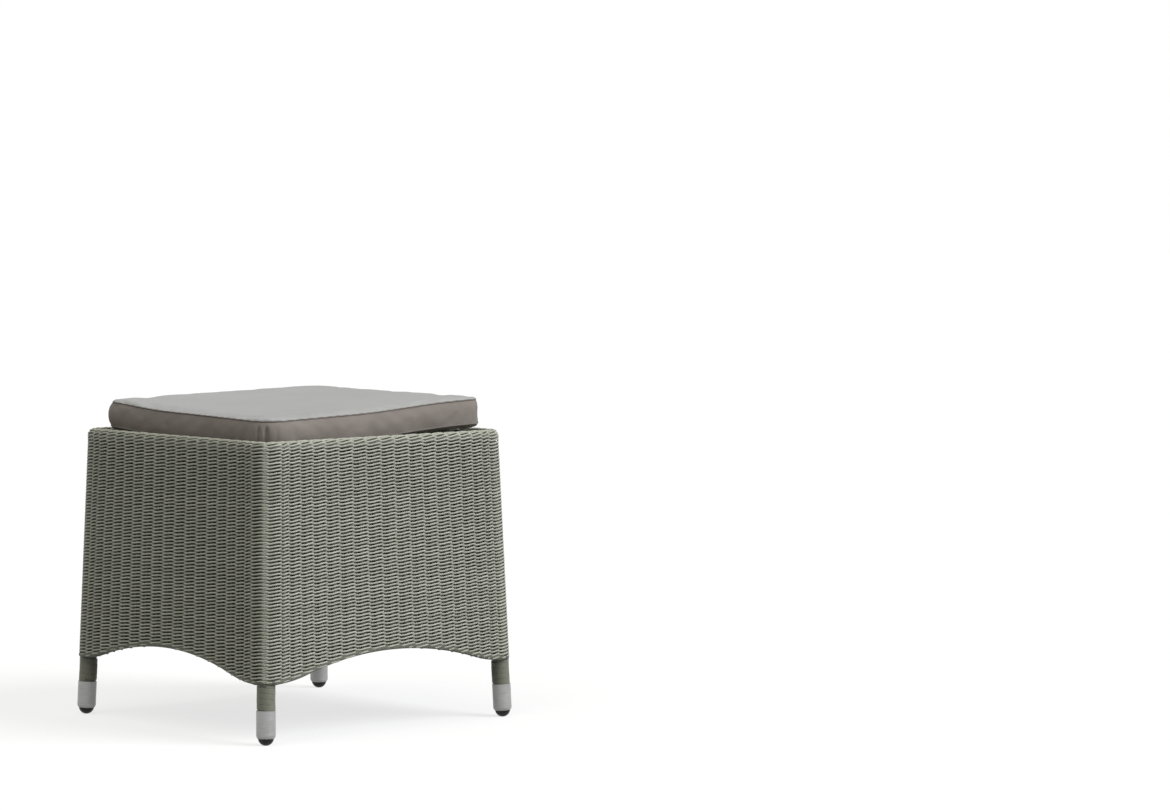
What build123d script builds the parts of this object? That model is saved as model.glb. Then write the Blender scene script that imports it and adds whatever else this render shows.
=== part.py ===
from build123d import *
import math
import os

os.makedirs("parts", exist_ok=True)

# A square garden footstool woven from round strands over an aluminium frame, with a loose
# box cushion. Millimetres, +Z up, origin on the floor under the centre. The front faces -Y.

# Skirt: the four woven faces, which lean in towards the rim
rim_height = 435.0
rim_half_side = 228.5
floor_half_side = 243.8  # the outer faces carried down to the floor
skirt_corner_radius = 30.0
skirt_low = 87.0  # lower edge beside the legs
arch_rise = 33.5
arch_crown_share = 0.717  # share of half the arch that the crown's arc takes

# Weave
strand = 2.4
stake_diameter = 4.0
stakes_per_face = 17
stake_reach_share = 0.837  # place of the outermost stake as a share of the half side
stake_fan_angle = 43.8  # degrees: stakes stand closer together towards the corners
rim_rounding = 9.0
wall_seat_share = 0.8  # how far up the arch border's radius the woven wall starts

# Frame
leg_cover = 6.8  # from the skirt's outer face to the leg
leg_diameter = 25.0
leg_wall = 1.5
ring_diameter = 16.0
ring_wall = 1.5
rail_side = 14.0
rail_wall = 1.5
rail_corner = 2.0
bar_width = 20.0
bar_height = 10.0
bar_wall = 1.4
bar_corner = 1.5
bar_spacing = 105.0
rod_diameter = 6.0

# Woven deck
deck_recess = 15.0  # below the rim's top
deck_thickness = 5.8

# Feet
glide_height = 10.0
glide_step = 0.7  # from the sleeve's mouth in to the dome
glide_pad_depth = 0.4  # the dome's tip that is worn to a flat pad
glide_stem_length = 18.0
glide_stem_chamfer = 1.5
sleeve_wall = 1.4
sleeve_height = 40.0
sleeve_turn_height = 5.0  # the rounded lower end
sleeve_turn_in = 1.8  # from the outside in to the mouth
sleeve_lip = 1.4

# Flat strand wound round each leg between the sleeve and the skirt
wrap_width = 7.6
wrap_thickness = 0.8
wrap_corner = 0.3
wrap_pitch = 8.1
wrap_turns = 3.5

# Cushion
cushion_gap = 2.4  # to the inside of the rim
cushion_corner_radius = 27.0
cushion_drawn_in = 2.0  # how far each side pulls in between the corners
cushion_band_height = 42.0
cushion_edge_rounding = 4.5
cushion_edge_inset = 2.2
cushion_crown = 9.0
crown_rise_shares = (0, 0.5, 0.86, 1)  # of the crown, at each section above the top seam
crown_reach_shares = (0, 0.22, 0.5, 0.82)  # of the half side, inwards from the seam
crown_corner_shares = (1, 0.9, 0.75, 0.7)  # of the seam's corner radius
cushion_slope_x = 0.0322  # it rides up towards the right and the back
cushion_slope_y = 0.0225
cover_thickness = 1.0
zip_margin = 19.0  # from the zip's end to the rounded corner
zip_tape_width = 15.0
zip_tape_thickness = 0.6
zip_chain_width = 4.0
zip_chain_thickness = 1.2
zip_end_length = 4.0  # chain left beyond the slider at each end of its travel
slider_length = 11.0
slider_width = 8.0
slider_thickness = 2.6
slider_corner = 1.0
pull_length = 16.0
pull_width = 6.0
pull_thickness = 1.4

# Clearances
fit_gap = 0.1
soft_gap = 0.3
overrun = 10.0

QUARTER = 90
FACES = ("front", "right", "back", "left")
CORNERS = ("front_left", "front_right", "back_right", "back_left")

# Sizes that follow from those above
lean = (floor_half_side - rim_half_side) / rim_height
rim_width = ring_diameter + 2 * strand
wall_thickness = stake_diameter + 2 * strand
leg_radius = leg_diameter / 2
leg_inset = leg_cover + leg_radius  # from the skirt's outer face to the leg's axis
rod_radius = rod_diameter / 2
stake_radius = stake_diameter / 2
edge_radius = wall_thickness / 2
rim_bottom = rim_height - rim_width
ring_z = rim_height - strand - ring_diameter / 2
deck_top = rim_height - deck_recess
rail_top = deck_top - deck_thickness


def half_side(z):
    """Half the side of the skirt's outer face at a height."""
    return floor_half_side - lean * z


# The skirt's mid-plane on the front face: local x runs right, local y up the leaning face
wall_up = math.hypot(1, lean)
wall_plane = Plane(
    origin=(0, -(half_side(0) - wall_thickness / 2), 0),
    x_dir=(1, 0, 0),
    z_dir=(0, -1, lean),
)


def write_piece(piece, name):
    """Labels a finished piece and writes it."""
    piece.label = name
    export_step(piece, f"parts/{name}.step")


def write_turned(piece, names, kind):
    """Writes the four copies of a piece, a quarter turn apart."""
    for turn, name in enumerate(names):
        with BuildPart() as turned:
            add(piece, rotation=(0, 0, QUARTER * turn))
        write_piece(turned.part, f"{kind}_{name}")


def cut_turned(tool):
    """Cuts the four copies of a tool out of the part that is being built."""
    for turn in range(len(FACES)):
        add(tool, rotation=(0, 0, QUARTER * turn), mode=Mode.SUBTRACT)


# Leg axis at the front left corner, splayed out towards the floor
def leg_point(z):
    inset = half_side(z) - leg_inset
    return Vector(-inset, -inset, z)


leg_direction = (leg_point(rim_height) - leg_point(0)).normalized()
leg_plane = Plane(origin=leg_point(0), x_dir=(1, -1, 0), z_dir=leg_direction)
leg_top = ring_z - ring_diameter / 2 - fit_gap


def leg_solid(radius):
    """A full cylinder on the leg's axis, past both its ends."""
    with BuildPart() as cylinder:
        with BuildSketch(leg_plane.offset(-overrun)):
            Circle(radius)
        extrude(amount=rim_height + overrun)
    return cylinder.part


leg_cutter = leg_solid(leg_radius + fit_gap)

# Leg tube, square to its axis at the foot and level under the rim ring
with BuildPart() as leg_tube:
    with BuildSketch(leg_plane.offset(glide_height + sleeve_lip)):
        Circle(leg_radius)
        Circle(leg_radius - leg_wall, mode=Mode.SUBTRACT)
    extrude(amount=rim_height)
    split(bisect_by=Plane.XY.offset(leg_top), keep=Keep.BOTTOM)
write_turned(leg_tube.part, CORNERS, "leg_tube")

# Foot sleeve: a drawn metal cup, turned in at its lower end
sleeve_bottom = glide_height
sleeve_top = glide_height + sleeve_height
sleeve_radius = leg_radius + fit_gap + sleeve_wall
mouth_radius = sleeve_radius - sleeve_turn_in
stem_radius = leg_radius - leg_wall - fit_gap
section_plane = Plane(origin=leg_plane.origin, x_dir=leg_plane.x_dir, z_dir=-leg_plane.y_dir)
foot_axis = Axis(leg_plane.origin, leg_plane.z_dir)
with BuildPart() as foot_sleeve:
    with BuildSketch(section_plane):
        with BuildLine():
            outer_turn = TangentArc(
                (sleeve_radius, sleeve_bottom + sleeve_turn_height),
                (mouth_radius, sleeve_bottom),
                tangent=(0, -1),
            )
            Polyline(
                outer_turn @ 1,
                (stem_radius + fit_gap, sleeve_bottom),
                (stem_radius + fit_gap, sleeve_bottom + sleeve_lip - fit_gap),
                (leg_radius + fit_gap, sleeve_bottom + sleeve_lip - fit_gap),
                (leg_radius + fit_gap, sleeve_top),
                (sleeve_radius, sleeve_top),
                outer_turn @ 0,
            )
        make_face()
    revolve(axis=foot_axis)
write_turned(foot_sleeve.part, CORNERS, "foot_sleeve")

# Foot glide: a dome with a small flat pad on the floor and a stem up the tube
glide_radius = mouth_radius - glide_step
dome_height = glide_height + glide_pad_depth
dome_radius = (glide_radius**2 + dome_height**2) / (2 * dome_height)
shoulder_angle = math.asin(glide_radius / dome_radius) / 2
stem_top = glide_height + sleeve_lip + glide_stem_length
with BuildPart() as foot_glide:
    with BuildSketch(section_plane):
        with BuildLine():
            dome = ThreePointArc(
                (0, -glide_pad_depth),
                (
                    dome_radius * math.sin(shoulder_angle),
                    dome_radius * (1 - math.cos(shoulder_angle)) - glide_pad_depth,
                ),
                (glide_radius, glide_height),
            )
            Polyline(
                dome @ 1,
                (stem_radius, glide_height),
                (stem_radius, stem_top - glide_stem_chamfer),
                (stem_radius - glide_stem_chamfer, stem_top),
                (0, stem_top),
                dome @ 0,
            )
        make_face()
    revolve(axis=foot_axis)
    split(bisect_by=Plane.XY, keep=Keep.TOP)
write_turned(foot_glide.part, CORNERS, "foot_glide")


# Leg wrap: one flat strand wound round the leg, each half turn a pair of tangent arcs
wrap_radius = leg_radius + wrap_thickness / 2 + fit_gap
wrap_start = sleeve_top + soft_gap + wrap_width / 2


def wrap_point(turns):
    angle = 2 * math.pi * turns
    height = wrap_start + wrap_pitch * turns
    return leg_plane.from_local_coords(
        (wrap_radius * math.cos(angle), wrap_radius * math.sin(angle), height)
    )


def wrap_tangent(turns):
    angle = 2 * math.pi * turns
    climb = wrap_pitch / (2 * math.pi)
    ahead = leg_plane.from_local_coords(
        (-wrap_radius * math.sin(angle), wrap_radius * math.cos(angle), climb)
    )
    return (ahead - leg_plane.origin).normalized()


def biarc_joint(start, start_way, end, end_way):
    """Where two tangent arcs of like reach meet, and their way there."""
    span = end - start
    both = span.dot(start_way + end_way)
    bend = 2 * (1 - start_way.dot(end_way))
    reach = (math.sqrt(both**2 + bend * span.dot(span)) - both) / bend
    near, far = start + start_way * reach, end - end_way * reach
    return (near + far) * 0.5, (far - near).normalized()


wrap_plane = Plane(origin=wrap_point(0), x_dir=leg_direction, z_dir=wrap_tangent(0))
with BuildPart() as leg_wrap:
    with BuildLine() as winding:
        for half_turn in range(round(2 * wrap_turns)):
            begin, end = half_turn / 2, (half_turn + 1) / 2
            joint, way = biarc_joint(
                wrap_point(begin), wrap_tangent(begin), wrap_point(end), wrap_tangent(end)
            )
            TangentArc(wrap_point(begin), joint, tangent=wrap_tangent(begin))
            TangentArc(joint, wrap_point(end), tangent=way)
    with BuildLine() as wrap_axis:
        Line(
            leg_plane.from_local_coords((0, 0, wrap_start)),
            leg_plane.from_local_coords((0, 0, wrap_start + wrap_pitch * wrap_turns)),
        )
    with BuildSketch(wrap_plane):
        RectangleRounded(wrap_width, wrap_thickness, wrap_corner)
    sweep(path=winding.wires()[0], binormal=wrap_axis.wires()[0])
write_turned(leg_wrap.part, CORNERS, "leg_wrap")

# Least gap between neighbouring turns, measured on points one turn apart
samples_per_turn = 12
steps = [step / samples_per_turn for step in range(round(samples_per_turn * (wrap_turns - 1)))]
tilt = math.atan(wrap_pitch / (2 * math.pi * wrap_radius))
least = min((wrap_point(step + 1) - wrap_point(step)).length for step in steps)
print("leg wrap least gap to itself", round(least * math.cos(tilt) - wrap_width, 2), "mm")

# Rim ring: a bent tube under the woven rim
border_half = half_side(rim_bottom)
ring_half = border_half - rim_width / 2
ring_corner = skirt_corner_radius - rim_width / 2
with BuildSketch(Plane.XY.offset(ring_z)) as ring_outline:
    RectangleRounded(2 * ring_half, 2 * ring_half, ring_corner)
ring_path = ring_outline.sketch.wires()[0]


def ring_solid(radius, bore=0):
    """A round section carried along the ring's path."""
    with BuildPart() as ring:
        with BuildSketch(Plane(origin=ring_path @ 0, z_dir=ring_path % 0)):
            Circle(radius)
            if bore:
                Circle(bore, mode=Mode.SUBTRACT)
        sweep(path=ring_path)
    return ring.part


write_piece(ring_solid(ring_diameter / 2, ring_diameter / 2 - ring_wall), "rim_ring")


# Seat rails: square tubes coped to the legs, level under the woven deck
rail_z = rail_top - rail_side / 2
rail_inset = half_side(rail_z) - leg_inset
with BuildPart() as seat_rail:
    with BuildSketch(Plane.YZ.offset(-rail_inset)):
        with Locations((-rail_inset, rail_z)):
            RectangleRounded(rail_side, rail_side, rail_corner)
            RectangleRounded(
                rail_side - 2 * rail_wall,
                rail_side - 2 * rail_wall,
                rail_corner / 2,
                mode=Mode.SUBTRACT,
            )
    extrude(amount=2 * rail_inset)
    cut_turned(leg_cutter)
write_turned(seat_rail.part, FACES, "seat_rail")

# Seat bars: flat tubes between the front and back rails
bar_reach = rail_inset - rail_side / 2 - fit_gap
bar_z = rail_top - bar_height / 2
for name, place in (("left", -bar_spacing), ("middle", 0), ("right", bar_spacing)):
    with BuildPart() as seat_bar:
        with BuildSketch(Plane.XZ.offset(-bar_reach)):
            with Locations((place, bar_z)):
                RectangleRounded(bar_width, bar_height, bar_corner)
                RectangleRounded(
                    bar_width - 2 * bar_wall,
                    bar_height - 2 * bar_wall,
                    bar_corner / 2,
                    mode=Mode.SUBTRACT,
                )
        extrude(amount=2 * bar_reach)
    write_piece(seat_bar.part, f"seat_bar_{name}")

# The arch: a crown arc that runs into a hollow arc beside each leg
arch_half = half_side(skirt_low) - leg_inset
arch_reach = (arch_half**2 + arch_rise**2) / (2 * arch_rise)
crown_radius = arch_crown_share * arch_reach
hollow_radius = arch_reach - crown_radius
arch_turn_x = arch_crown_share * arch_half


def arch_height(x):
    """How far the arch stands above its ends."""
    x = abs(x)
    if x < arch_turn_x:
        return arch_rise - crown_radius + math.sqrt(crown_radius**2 - x**2)
    return hollow_radius - math.sqrt(hollow_radius**2 - (arch_half - x) ** 2)


def arch_arcs(low):
    """Draws the arch with its ends at a height, in the plane being drawn on."""
    turn_height = low + (1 - arch_crown_share) * arch_rise
    first = TangentArc(
        (-arch_half, low), (-arch_turn_x, turn_height), tangent=Vector(1, 0, 0)
    )
    crown = TangentArc(first @ 1, (arch_turn_x, turn_height), tangent=first % 1)
    last = TangentArc(crown @ 1, (arch_half, low), tangent=crown % 1)
    return first, last


rod_low = skirt_low + edge_radius
with BuildLine(wall_plane) as rod_line:
    arch_arcs(rod_low * wall_up)
rod_path = rod_line.wires()[0]


def rod_solid(radius, bore=0):
    """A round section carried along the arch."""
    with BuildPart() as rod:
        with BuildSketch(Plane(origin=rod_path @ 0, z_dir=rod_path % 0)):
            Circle(radius)
            if bore:
                Circle(bore, mode=Mode.SUBTRACT)
        sweep(path=rod_path)
    return rod.part


# Stakes: upright rods in the mid-plane of the skirt, from the arch rod to the rim ring
stake_offset = rim_width / 2 - wall_thickness / 2 - stake_radius
stake_top = ring_z - math.sqrt((ring_diameter / 2) ** 2 - stake_offset**2) - soft_gap
half_count = (stakes_per_face - 1) / 2


def stake_share(number):
    """Place of a stake across the face, as a share of the half side."""
    angle = math.radians(stake_fan_angle * (number - half_count) / half_count)
    return stake_reach_share * math.sin(angle) / math.sin(math.radians(stake_fan_angle))


def stake_solids(radius, top_z):
    """All stakes of the front face, from the arch rod's centre line up to a height."""
    with BuildPart() as stakes:
        for number in range(stakes_per_face):
            share = stake_share(number)
            foot_z = rod_low + arch_height(share * half_side(rod_low))
            foot = wall_plane.from_local_coords((share * half_side(foot_z), foot_z * wall_up))
            top = wall_plane.from_local_coords((share * half_side(top_z), top_z * wall_up))
            with BuildSketch(Plane(origin=foot, z_dir=top - foot)):
                Circle(radius)
            extrude(amount=(top - foot).length)
    return stakes.part


with BuildPart() as stakes:
    add(stake_solids(stake_radius, stake_top))
    add(rod_solid(rod_radius + fit_gap), mode=Mode.SUBTRACT)
write_turned(stakes.part, FACES, "stakes")
stake_cutter = stake_solids(stake_radius + fit_gap, stake_top + soft_gap)

# Arch rod and the strand wrapped round it along the lower edge
with BuildPart() as arch_rod:
    add(rod_solid(rod_radius))
    cut_turned(leg_cutter)
write_turned(arch_rod.part, FACES, "arch_rod")

with BuildPart() as arch_border:
    add(rod_solid(edge_radius, rod_radius + fit_gap))
    cut_turned(leg_cutter)
    add(stake_cutter, mode=Mode.SUBTRACT)
write_turned(arch_border.part, FACES, "arch_border")

# Woven wall: the leaning face with half of each corner, which wraps round the leg
edge_lip = edge_radius * wall_seat_share
with BuildPart() as woven_wall:
    for z in (skirt_low, rim_bottom):
        with BuildSketch(Plane.XY.offset(z)):
            RectangleRounded(2 * half_side(z), 2 * half_side(z), skirt_corner_radius)
    loft(ruled=True)
    for z in (skirt_low, rim_bottom):
        inner_half = half_side(z) - wall_thickness
        with BuildSketch(Plane.XY.offset(z)):
            RectangleRounded(
                2 * inner_half, 2 * inner_half, skirt_corner_radius - wall_thickness
            )
    loft(ruled=True, mode=Mode.SUBTRACT)
    with BuildSketch(Plane.XY):
        with BuildLine():
            Polyline(
                (0, 0),
                (-floor_half_side, -floor_half_side),
                (floor_half_side, -floor_half_side),
                close=True,
            )
        make_face()
    extrude(amount=rim_height, mode=Mode.INTERSECT)
    with BuildSketch(Plane.XZ):
        with BuildLine():
            first, last = arch_arcs(rod_low + edge_lip)
            Polyline(last @ 1, (arch_half, 0), (-arch_half, 0), first @ 0)
        make_face()
    extrude(amount=floor_half_side, mode=Mode.SUBTRACT)
    add(rod_solid(edge_radius + fit_gap), mode=Mode.SUBTRACT)
    add(stake_cutter, mode=Mode.SUBTRACT)
    cut_turned(leg_cutter)
write_turned(woven_wall.part, FACES, "woven_wall")

# Rim border: strands wrapped over the ring, flat below where it stands on the walls
with BuildPart() as rim_border:
    with BuildSketch(Plane.XY.offset(rim_bottom)):
        RectangleRounded(2 * border_half, 2 * border_half, skirt_corner_radius)
        inner_half = border_half - rim_width
        RectangleRounded(
            2 * inner_half,
            2 * inner_half,
            skirt_corner_radius - rim_width,
            mode=Mode.SUBTRACT,
        )
    extrude(amount=rim_width)
    fillet(rim_border.faces().sort_by(Axis.Z)[-1].edges(), radius=rim_rounding)
    add(ring_solid(ring_diameter / 2 + fit_gap), mode=Mode.SUBTRACT)
    cut_turned(leg_cutter)
    cut_turned(stake_cutter)
write_piece(rim_border.part, "rim_border")

# Woven deck: the recessed seat on the rails and bars, notched round the legs
with BuildPart() as woven_deck:
    deck_half = border_half - rim_width - soft_gap
    with BuildSketch(Plane.XY.offset(rail_top)):
        RectangleRounded(
            2 * deck_half, 2 * deck_half, skirt_corner_radius - rim_width - soft_gap
        )
    extrude(amount=deck_thickness)
    cut_turned(leg_solid(leg_radius + soft_gap))
write_piece(woven_deck.part, "woven_deck")

# Cushion: level sections are tilted, because it rides up towards the right and the back
cushion_half_side = border_half - rim_width - cushion_gap
cushion_normal = Vector(-cushion_slope_x, -cushion_slope_y, 1).normalized()
cushion_low = (
    deck_top + soft_gap + (cushion_slope_x + cushion_slope_y) * cushion_half_side
)


def cushion_plane(height):
    """A tilted plane at a height above the cushion's underside."""
    return Plane(
        origin=(0, 0, cushion_low + height),
        x_dir=(1, 0, cushion_slope_x),
        z_dir=cushion_normal,
    )


def cushion_section(height, half, corner):
    """A square with rounded corners whose sides pull in between them."""
    centre = half - corner
    with BuildSketch(cushion_plane(height)) as section:
        with BuildLine():
            corners = []
            for quarter, (x, y) in enumerate(((-1, -1), (1, -1), (1, 1), (-1, 1))):
                corners.append(
                    CenterArc(
                        (x * centre, y * centre),
                        corner,
                        180 + QUARTER * quarter,
                        QUARTER,
                    )
                )
            for arc, following in zip(corners, corners[1:] + corners[:1]):
                SagittaArc(arc @ 1, following @ 0, cushion_drawn_in)
        make_face()
    return section.sketch


def cushion_form(inset):
    """The cushion's outer form, or the same form drawn in evenly by an inset."""
    band_top = cushion_band_height - inset
    half = cushion_half_side - inset
    corner = cushion_corner_radius - inset
    band = (
        (inset, cushion_edge_inset + cushion_edge_rounding / 2),
        (inset + cushion_edge_rounding, cushion_edge_inset / 2),
        (cushion_band_height / 2, 0),
        (band_top - cushion_edge_rounding, cushion_edge_inset / 2),
        (band_top, cushion_edge_inset),
    )
    with BuildPart() as form:
        for height, drawn in band:
            add(cushion_section(height, half - drawn, corner - drawn))
        loft()
        for rise, reach, round_share in zip(
            crown_rise_shares, crown_reach_shares, crown_corner_shares
        ):
            height = band_top + rise * cushion_crown
            crown_half = half - cushion_edge_inset - reach * cushion_half_side
            add(cushion_section(height, crown_half, round_share * (corner - cushion_edge_inset)))
        loft()
    return form.part


outer_form = cushion_form(0)
inner_form = cushion_form(cover_thickness)
with BuildPart() as cover:
    add(outer_form)
    add(inner_form, mode=Mode.SUBTRACT)
seam_top = cushion_band_height
seam_bottom = cushion_edge_rounding
with BuildPart() as cover_top:
    add(cover.part)
    split(bisect_by=cushion_plane(seam_top), keep=Keep.TOP)
write_piece(cover_top.part, "cover_top")
with BuildPart() as cover_bottom:
    add(cover.part)
    split(bisect_by=cushion_plane(seam_bottom), keep=Keep.BOTTOM)
write_piece(cover_bottom.part, "cover_bottom")
with BuildPart() as cover_band:
    add(cover.part)
    split(bisect_by=cushion_plane(seam_top), keep=Keep.BOTTOM)
    split(bisect_by=cushion_plane(seam_bottom), keep=Keep.TOP)
write_piece(cover_band.part, "cover_band")
write_piece(cushion_form(cover_thickness + soft_gap), "cushion_foam")

# Zip along the back of the cover's band
side_chord = cushion_half_side - cushion_corner_radius
zip_half_length = side_chord - zip_margin
zip_height = (seam_bottom + seam_top) / 2


def band_strip(width, thickness):
    """A strip that lies on the back of the band and follows its curve."""
    with BuildPart() as strip:
        add(cushion_form(-thickness))
        add(cushion_form(-fit_gap), mode=Mode.SUBTRACT)
        with BuildSketch(cushion_plane(zip_height - width / 2)):
            with Locations((0, cushion_half_side)):
                Rectangle(2 * zip_half_length, cushion_half_side)
        extrude(amount=width, mode=Mode.INTERSECT)
    return strip.part


with BuildPart() as zip_tape:
    add(band_strip(zip_tape_width, zip_tape_thickness))
    add(band_strip(zip_chain_width, zip_chain_thickness))
write_piece(zip_tape.part, "zip_tape")

# Zip slider at the left end of its travel, with its pull hanging from it
side_radius = (side_chord**2 + cushion_drawn_in**2) / (2 * cushion_drawn_in)
slider_x = -(zip_half_length - zip_end_length - slider_length / 2)
side_y = cushion_half_side - cushion_drawn_in
side_y += side_radius - math.sqrt(side_radius**2 - (slider_x - slider_length / 2) ** 2)
slider_y = side_y + zip_chain_thickness + soft_gap
level = cushion_plane(zip_height)
back_plane = Plane(
    origin=level.from_local_coords((slider_x, slider_y, 0)),
    x_dir=-level.x_dir,
    z_dir=level.y_dir,
)
with BuildPart() as zip_slider:
    with BuildSketch(back_plane):
        RectangleRounded(slider_length, slider_width, slider_corner)
    extrude(amount=slider_thickness)
    with BuildSketch(back_plane.offset(slider_thickness - pull_thickness / 2)):
        with Locations((0, -pull_length / 2)):
            RectangleRounded(pull_width, pull_length, slider_corner)
    extrude(amount=pull_thickness)
write_piece(zip_slider.part, "zip_slider")
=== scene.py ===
"""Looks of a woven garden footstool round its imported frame. Metres, +Z up, the front faces -Y."""

import math

import bpy
import numpy as np
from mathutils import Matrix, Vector


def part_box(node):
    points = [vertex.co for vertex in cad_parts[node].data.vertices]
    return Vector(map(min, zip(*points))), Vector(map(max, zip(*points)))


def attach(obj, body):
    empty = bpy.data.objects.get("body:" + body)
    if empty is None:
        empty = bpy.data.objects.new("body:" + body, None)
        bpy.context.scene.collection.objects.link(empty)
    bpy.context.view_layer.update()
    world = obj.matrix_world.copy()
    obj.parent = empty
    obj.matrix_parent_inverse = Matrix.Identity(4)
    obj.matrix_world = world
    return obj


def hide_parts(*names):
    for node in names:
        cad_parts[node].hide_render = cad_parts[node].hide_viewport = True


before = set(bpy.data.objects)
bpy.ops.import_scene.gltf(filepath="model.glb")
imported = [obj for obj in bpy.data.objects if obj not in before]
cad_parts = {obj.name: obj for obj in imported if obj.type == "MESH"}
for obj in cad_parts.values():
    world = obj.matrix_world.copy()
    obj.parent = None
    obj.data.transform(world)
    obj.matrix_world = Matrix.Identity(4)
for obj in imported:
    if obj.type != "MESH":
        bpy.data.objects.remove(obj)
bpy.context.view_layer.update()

MM = 0.001
FACES = ("front", "right", "back", "left")
CORNERS = ("front_left", "front_right", "back_right", "back_left")
UP = np.array([0.0, 0.0, 1.0])
rng = np.random.default_rng(20261128)

# Places read from the frame
wall_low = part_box("woven_wall_front")[0]
rim_low, rim_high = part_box("rim_border")
deck_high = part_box("woven_deck")[1]
SKIRT_LOW, RIM_BOTTOM, RIM_HEIGHT = wall_low.z, rim_low.z, rim_high.z
BORDER_HALF = rim_high.x
LEAN = (-wall_low.y - BORDER_HALF) / (RIM_BOTTOM - SKIRT_LOW)
DECK_TOP = deck_high.z

# Sizes that the weave shares with the frame
CORNER_RADIUS = 30 * MM
STRAND = 2.4 * MM
STAKE = 4.0 * MM
RING_RADIUS = 8.0 * MM
STAKES = 17
STAKE_REACH_SHARE = 0.837
STAKE_FAN_ANGLE = math.radians(43.8)
LEG_RADIUS = 12.5 * MM
LEG_INSET = 19.3 * MM
ARCH_RISE = 33.5 * MM
ARCH_CROWN_SHARE = 0.717
RIM_WIDTH = 2 * RING_RADIUS + 2 * STRAND
RIM_ROUNDING = 9 * MM
WALL_THICKNESS = STAKE + 2 * STRAND
MID_DEPTH = WALL_THICKNESS / 2


def eased(value, low, high):
    """0 below a range and 1 above it, with a smooth step between."""
    part = np.clip((value - low) / (high - low), 0, 1)
    return part * part * (3 - 2 * part)


def half_side(z):
    """Half the side of the skirt's outer face at a height."""
    return BORDER_HALF + LEAN * max(RIM_BOTTOM - z, 0)


def turned(points, quarter):
    """Points of the front face turned to another face, in quarter turns about +Z."""
    x, y, z = points[..., 0], points[..., 1], points[..., 2]
    for _ in range(quarter):
        x, y = -y, x
    return np.stack([x, y, z], -1)


def leg_point(z):
    """The front left leg's axis at a height."""
    inset = half_side(z) - LEG_INSET
    return np.array([-inset, -inset, z])


# Camera: the photograph's angle and framing
CAMERA_TURN, CAMERA_TILT = math.radians(-42.11), math.radians(3.32)
CAMERA_PLACE = (-3.518, -4.550, 0.803)
CAMERA_LENS, CAMERA_SENSOR = 117.14, 36
CAMERA_CLIP = (0.1, 100)


def make_camera():
    """The camera where the photograph was taken from, as fitted to the stool's corners."""
    data = bpy.data.cameras.new("camera")
    data.lens, data.sensor_width = CAMERA_LENS, CAMERA_SENSOR
    data.clip_start, data.clip_end = CAMERA_CLIP
    camera = bpy.data.objects.new("camera", data)
    back = Vector(
        (
            math.sin(CAMERA_TURN) * math.cos(CAMERA_TILT),
            -math.cos(CAMERA_TURN) * math.cos(CAMERA_TILT),
            math.sin(CAMERA_TILT),
        )
    )
    camera.location = CAMERA_PLACE
    camera.rotation_mode = "QUATERNION"
    camera.rotation_quaternion = (-back).to_track_quat("-Z", "Y")
    bpy.context.scene.collection.objects.link(camera)
    bpy.context.scene.camera = camera


# Materials
def linear(red, green, blue):
    """An sRGB colour from 0 to 255 as a linear colour."""
    def channel(value):
        value /= 255
        return value / 12.92 if value <= 0.04045 else ((value + 0.055) / 1.055) ** 2.4

    return (channel(red), channel(green), channel(blue), 1)


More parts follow.
